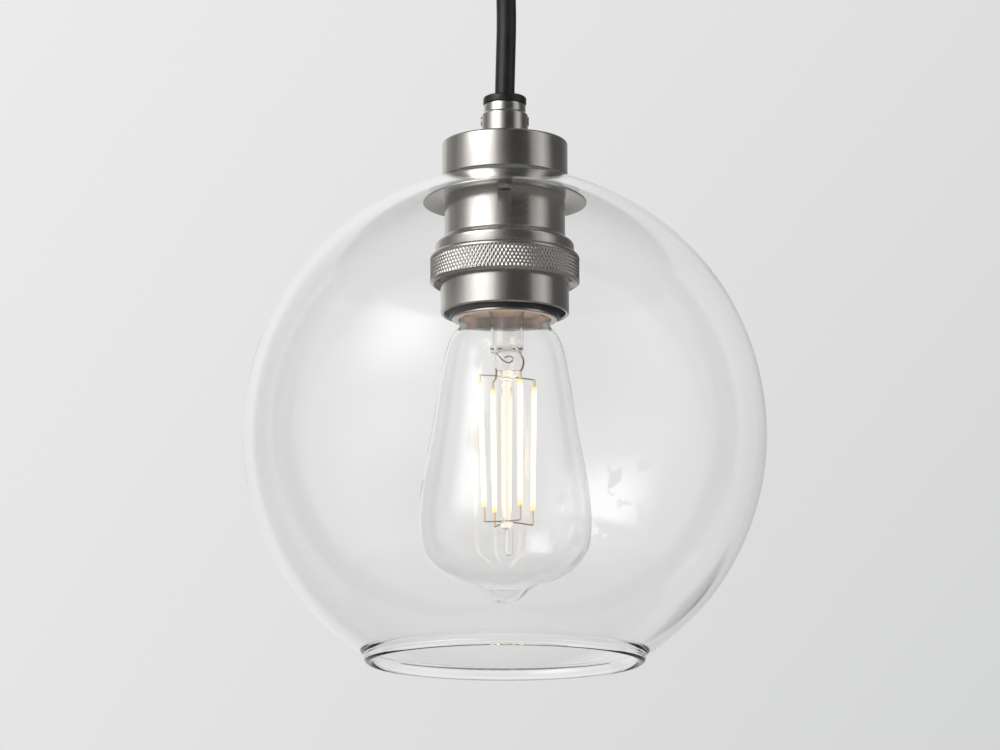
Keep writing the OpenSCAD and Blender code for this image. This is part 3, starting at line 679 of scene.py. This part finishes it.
def make_globe():
    """A blown globe, open at both ends, with a fire-polished bead round the mouth."""
    inner_r, inner_top = GLOBE_R - GLOBE_WALL, GLOBE_TOP - GLOBE_WALL
    bead_h = -math.sqrt(GLOBE_R ** 2 - MOUTH_R ** 2)
    top_out = math.degrees(math.acos(LAND_R / GLOBE_R))
    top_in = math.degrees(math.acos(TOP_HOLE_R / inner_r))
    outline = (oval(GLOBE_R, GLOBE_TOP, top_out, MOUTH_OUT, 140)
               + arc(BEAD_AT, bead_h, BEAD_R, 24, -188, 30)
               + oval(inner_r, inner_top, MOUTH_IN, top_in, 140)
               + [(21.1, LAND_H - 2.6), (21, LAND_H - 2.3), (21, LAND_H - 0.4),
                  (21.12, LAND_H - 0.12), (21.4, LAND_H)])
    place(lathe("globe", outline, 288, sharp=60), "pendant", globe_glass, "globe_glass",
          "glass_globe")


LAMP_OUTLINE = [
    (11.2, 53.6), (11.3, 52.2), (12.2, 50.6), (13.6, 48.8), (14.9, 46.6), (15.9, 44.4),
    (17.2, 40.6), (19.9, 36.8), (21.8, 32), (23.3, 25), (24.7, 17.5), (27.1, 1.5),
    (29.8, -12.5), (31.4, -23.5), (32, -34), (30.6, -43), (26, -49.4), (19, -53.6),
    (13.4, -55.7), (10.4, -57), (8.7, -58.2), (7.4, -59.6), (5.8, -61.1), (4, -62.2),
    (2, -62.9), (0, -63.1)]
LAMP_WALL, LAMP_FLOOR = 0.8, -61.7


def make_lamp_glass():
    """The pear-shaped envelope, thicker at its tip: its inside stops at LAMP_FLOOR."""
    line = smooth_line(LAMP_OUTLINE)
    inside = []
    for i, point in enumerate(line[:-1]):
        along = (line[min(i + 1, len(line) - 1)] - line[max(i - 1, 0)]).normalized()
        r, h = point.x + along.y * LAMP_WALL, point.y - along.x * LAMP_WALL
        if r > 0.6 and h > LAMP_FLOOR:
            inside.append((r, h))
    outline = [tuple(p) for p in line[:-1]] + [(0, LAMP_OUTLINE[-1][1])]
    outline += [(0, inside[-1][1] - 0.15)] + inside[::-1]
    place(lathe("lamp_envelope", outline, 192, sharp=60), "lamp", lamp_glass, "lamp_glass",
          "bulb_glass")


ROD_X = 0.7


def make_stem():
    """The glass stem, with its flattened press, and the glass rod that hangs below it."""
    tube = ([(0, 30.8), (4.2, 30.8), (4.9, 31)] + arc(5.2, 32, 1, -70, 0, 5)
            + [(6.2, 38), (6.2, 44), (6.6, 46), (7.2, 47.6), (8.3, 49.4), (9.5, 51),
               (9.5, 53), (8.8, 53), (8.7, 51.8), (7.7, 50.2), (6.4, 48), (5.7, 46.2),
               (5.3, 44.2), (5.3, 38)] + arc(3.3, 33.8, 2, 0, -60, 5)
            + [(2.6, 32.4), (0, 32.2)])
    press = rounded([(0, 24), (4.75, 24, 0.9), (4.75, 27.4), (4.6, 30.78, 0.6), (0, 30.78)])
    stem = lathe("stem", tube, 96, sharp=60)
    flat = lathe("stem_press", press, 96, sharp=60)
    for vertex in flat.data.vertices:
        vertex.co.y *= 0.36
        vertex.co.x += 0.4 * MM
    rod = (arc(0, -33, 2.6, -90, -32, 8) + arc(0, -33, 2.6, -30, 38, 8)
           + [(2, -30.9), (2, 20.4), (2.2, 20.9), (3.1, 21.3), (3.6, 22), (3.6, 22.5),
              (3.1, 23.3), (2.6, 23.9), (0, 23.98)])
    tail = arc(0, -44, 1.5, -90, 0, 8) + [(1.5, -40), (1.5, -35.6), (0, -35.6)]
    shaft = lathe("rod", rod, 64, sharp=60)
    end = lathe("rod_tail", tail, 48, sharp=60)
    end.data.transform(Matrix.Translation((0.8 * MM, 0, 0)))
    made = ((stem, stem_glass, "bulb_stem"), (flat, stem_glass, "bulb_stem"),
            (shaft, rod_glass, "stem_rod"), (end, stem_glass, "stem_rod"))
    for piece, material, cad_node in made:
        piece.data.transform(Matrix.Translation((ROD_X * MM, 0, 0)))
        place(piece, "lamp", material, "lamp_glass", cad_node)


# the top and the bottom of each filament, less the rise and drop of the tabs to the wires
FILAMENT_ENDS = {
    "a": ((-9.2, -4.4, 19), (-7.5, -4.2, -28.6)), "b": ((-4.5, 9.6, 19), (-3.8, 8.2, -28.6)),
    "c": ((5.7, -9.8, 19), (5.6, -8.6, -28.6)), "d": ((11, 4.6, 19), (10.3, 4.2, -28.6))}
LIT, TAB_RISE, TAB_DROP = 47.0, 2.6, 4.6  # LIT is from one tab's joint to the other's
JACKET_INSET = 0.3  # how far inside those joints the glowing jacket stops


def make_filaments():
    """Each filament is a glowing phosphor jacket, with a metal tab at each end."""
    tabs = []
    for key, (top, bottom) in FILAMENT_ENDS.items():
        top, bottom = Vector(top), Vector(bottom)
        along = (bottom - top).normalized()
        end = top + along * LIT
        glow = (top + along * JACKET_INSET, end - along * JACKET_INSET)
        jacket = tubes("filament_jacket_" + key, [glow], 1.75, 24)
        place(jacket, "lamp", phosphor, "phosphor", "filament_" + key)
        foot = bottom - Vector((0, 0, TAB_DROP))
        tabs.append((top - along * TAB_RISE, top - along * 0.2, top + along * 0.25))
        tabs.append((end - along * 0.25, end + along * 0.3, foot))
    place(tubes("tabs", tabs, 0.95, 12), "lamp", tab_metal_painted_glow, "wire", "filament_tabs")


def make_wires():
    """Two leads and a curl from the press, two cross wires above, and a star below."""
    leads = [[(-3.2, 0, 25), (-3.2, 1.2, 22.9), (-3.5, 3.6, 21.8), (-4, 6.6, 21.6),
              (-4.4, 9, 21.6)],
             [(5.2, 0, 31.2), (6.5, -0.9, 29), (6.9, -2.2, 26.8), (6.5, -4.4, 24.4),
              (5.9, -7.4, 22.6), (5.7, -9.3, 21.8)]]
    place(tubes("leads", leads, 0.75, 12), "lamp", wire_metal, "wire", "lead_wires")
    curl = [(-3.2, -1.6, 30.6), (-2.5, -2.3, 29.4), (-0.6, -2.5, 27.5), (1.3, -2.6, 26.6),
            (2.6, -2.6, 27.2), (2.9, -2.5, 28.3), (2.1, -2.4, 29), (1, -2.3, 29.1),
            (-0.1, -2.3, 28.5)]
    place(tubes("curl", [curl], 0.55, 12), "lamp", wire_metal, "wire", "lead_wires")
    cross = [[(ROD_X, 0, 22), Vector(FILAMENT_ENDS[k][0]) + Vector((0, 0, TAB_RISE))]
             for k in ("a", "d")]
    place(tubes("cross_wires", cross, 0.5, 12), "lamp", wire_metal, "wire", "upper_wires")
    star = [[(ROD_X, 0, -32.4), Vector(ends[1]) - Vector((0, 0, TAB_DROP))]
            for ends in FILAMENT_ENDS.values()]
    place(tubes("star_wires", star, 0.5, 12), "lamp", wire_metal, "wire", "lower_wires")


make_rose()
make_rose_cores()
make_grip()
make_upper_holder()
make_union_ring()
make_lower_holder()
make_threads()
make_lamp_cores()
make_globe()
make_lamp_glass()
make_stem()
make_filaments()
make_wires()

# CAD nodes whose shape stays: material, slot, and the width of the bevel on their edges
KEPT = {
    "ceiling_bracket": (zinc, "zinc_steel", 0.0002),
    "terminal_block": (white_plastic, "white_plastic", 0.0003),
    "block_screws": (brass, "brass", 0.0),
    "seat_nut": (brass, "brass", 0.0003),
    "hollow_nipple": (brass, "brass", 0.0),
    "nipple_nut": (brass, "brass", 0.0002),
    "earth_screw": (brass, "brass", 0.0),
    "side_contact": (brass, "brass", 0.00008),
    "terminal_base": (ceramic, "ceramic", 0.0002),
    "terminal_screws": (brass, "brass", 0.0),
    "centre_contact": (brass, "brass", 0.0),
    "cap_insulator": (black_plastic, "black_plastic", 0.0),
    "cap_contact": (zinc, "zinc_steel", 0.0),
    "driver_board": (board, "board", 0.0001),
}


def finish_kept_nodes():
    """Gives each kept CAD node its material, and eases its edges."""
    for name, (material, slot, width) in KEPT.items():
        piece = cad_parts[name]
        for held in piece.material_slots:
            held.material = material
        if width:
            edge = piece.modifiers.new("edge", "BEVEL")
            edge.width, edge.segments, edge.limit_method = width, 2, "ANGLE"
            edge.angle_limit = math.radians(40)


finish_kept_nodes()


# ---------------------------------------------------------------- stage and light
def make_floor():
    """A wide pale floor well below the globe."""
    bm = bmesh.new()
    bmesh.ops.create_circle(bm, cap_ends=True, cap_tris=True, segments=96, radius=9)
    floor = mesh_piece("floor", bm)
    floor.location = (0, 0, -1.05)
    floor.data.materials.append(solid("floor_paint", (0.78, 0.78, 0.78), (0.5, 0.65), 0, 0.01,
                                      3, 60, grain_depth=0.0002))
    floor.visible_glossy = floor.visible_transmission = False


# what the nickel mirrors, going round from the camera's side: degrees to the right of it,
# and the brightness there
ROUND_LIGHT = [(-180, 0.8), (-146, 0.7), (-126, 0.3), (-104, 0.2), (-88, 0.33), (-77, 0.6),
               (-66, 0.95), (-54, 1.4), (-45, 1.55), (-35, 1.5), (-25, 1.2), (-12, 0.34),
               (0, 0.1), (14, 0.05), (44, 0.06), (54, 0.38), (74, 0.66), (84, 0.36), (96, 0.08),
               (124, 0.09), (146, 0.16), (162, 0.3), (180, 0.8)]


def backdrop_colour(tree, way):
    """Pale grey, lighter to the left and up."""
    across = spread(tree, way[0], 0, 1, -0.12, 0.12)
    up = spread(tree, way[2], 0, 1, 0.1, 0.28)
    left = blend_colour(tree, up, (0.785, 0.785, 0.785), (0.838, 0.838, 0.838))
    right = blend_colour(tree, up, (0.655, 0.662, 0.662), (0.735, 0.735, 0.735))
    return blend_colour(tree, across, left, right)


def round_light(tree, round_by):
    """The brightness in ROUND_LIGHT for a direction in degrees round the object."""
    ramp = node(tree, "ValToRGB", {"Fac": spread(tree, round_by, 0, 1, -180, 180)})
    ramp.color_ramp.interpolation = "EASE"
    stops = ramp.color_ramp.elements
    while len(stops) > 1:
        stops.remove(stops[-1])
    peak = max(level for _, level in ROUND_LIGHT)
    for i, (degrees, level) in enumerate(ROUND_LIGHT):
        share = (degrees + 180) / 360
        stop = stops[0] if i == 0 else stops.new(share)
        stop.position = share
        stop.color = (level / peak,) * 3 + (1,)
    return math_node(tree, "MULTIPLY", ramp.outputs["Color"], peak)


def mirrored_light(tree, way, height, ray):
    """What is mirrored: light round the object, and a softbox high on the left."""
    toward_camera = math_node(tree, "MULTIPLY", way[1], -1)
    round_by = math_node(tree, "DEGREES", math_node(tree, "ARCTAN2", way[0], toward_camera))
    reach = math_node(tree, "MULTIPLY", ease(tree, height, -31, 0), ease(tree, height, 56, 44))
    beyond = spread(tree, height, 0.2, 0.12, -80, 80)
    level = node(tree, "Mix", {0: reach, 2: beyond, 3: round_light(tree, round_by)},
                 data_type="FLOAT").outputs[0]
    # the softbox has a slanted upper edge, and fades down and to both sides. Mirrored from
    # inside the glass it stands lower and is brighter
    inside = math_node(tree, "MULTIPLY", ray["Is Singular Ray"],
                       math_node(tree, "GREATER_THAN", ray["Transmission Depth"], 0.5))
    up = math_node(tree, "ADD", height, math_node(tree, "MULTIPLY", inside, 12))
    slanted = math_node(tree, "ADD", up, math_node(tree, "MULTIPLY", round_by, 0.12))
    from_middle = math_node(tree, "ABSOLUTE", math_node(tree, "ADD", round_by, 50))
    box = math_node(tree, "MULTIPLY", ease(tree, slanted, 38, 33), ease(tree, up, 10, 32))
    box = math_node(tree, "MULTIPLY", box, ease(tree, from_middle, 34, 4))
    power = math_node(tree, "ADD", 3.5, math_node(tree, "MULTIPLY", inside, 2.5))
    level = math_node(tree, "ADD", level, math_node(tree, "MULTIPLY", box, power))
    blue = math_node(tree, "MULTIPLY", level, 0.985)
    return node(tree, "CombineColor", {0: level, 1: level, 2: blue}).outputs[0]


def light_through_glass(tree, way, height, backdrop):
    """The backdrop, with dark edges above and at both sides that draw the glass's rim,
    and a dark gap low on the right. It is clear again further round, for views from behind."""
    aside = math_node(tree, "DEGREES", math_node(tree, "ARCTAN2", way[0], way[1]))
    off_axis = math_node(tree, "ABSOLUTE", aside)
    sideways = math_node(tree, "MAXIMUM", ease(tree, off_axis, 60, 52),
                         ease(tree, off_axis, 70, 78))
    lit = math_node(tree, "MULTIPLY", sideways, ease(tree, height, 43, 39))
    gap_across = math_node(tree, "ABSOLUTE", math_node(tree, "SUBTRACT", aside, 26))
    gap_up = math_node(tree, "ABSOLUTE", math_node(tree, "ADD", height, 13))
    gap = math_node(tree, "MULTIPLY", ease(tree, gap_across, 9, 4), ease(tree, gap_up, 9, 4))
    lit = math_node(tree, "MULTIPLY", lit, math_node(tree, "SUBTRACT", 1.0, gap))
    gain = spread(tree, aside, 1.07, 1.19, 1, 7)
    brighter = node(tree, "VectorMath", {0: backdrop, "Scale": gain},
                    operation="SCALE").outputs[0]
    return blend_colour(tree, lit, (0.2, 0.2, 0.2), brighter)


def make_world():
    """A light tent. The camera, mirrors, glass and matt surfaces each see a part of it.
    way is the direction looked in, and height is how many degrees up that is."""
    world = bpy.data.worlds.new("studio")
    scene.world = world
    world.use_nodes = True
    world.cycles.sampling_method = "NONE"
    tree = world.node_tree
    tree.nodes.remove(tree.nodes["Background"])
    way = node(tree, "SeparateXYZ", {0: node(tree, "TexCoord").outputs["Generated"]}).outputs
    height = math_node(tree, "DEGREES", math_node(tree, "ARCSINE", way[2]))
    ray = node(tree, "LightPath").outputs
    backdrop = backdrop_colour(tree, way)
    mirrored = mirrored_light(tree, way, height, ray)
    bent = light_through_glass(tree, way, height, backdrop)
    dome = (0.86, 0.86, 0.86)
    lit = blend_colour(tree, ray["Is Glossy Ray"], dome, mirrored)
    through = blend_colour(tree, ray["Is Transmission Ray"], lit, bent)
    seen = blend_colour(tree, ray["Is Camera Ray"], through, backdrop)
    light = node(tree, "Background", {"Color": seen})
    tree.links.new(light.outputs[0], tree.nodes["World Output"].inputs["Surface"])


make_floor()
make_world()
scene.view_settings.view_transform = "Standard"
# a lamp inside a globe has many faces of glass to see through
scene.cycles.transparent_max_bounces = 48
scene.cycles.max_bounces = 32
scene.cycles.transmission_bounces = 28
scene.cycles.glossy_bounces = 12
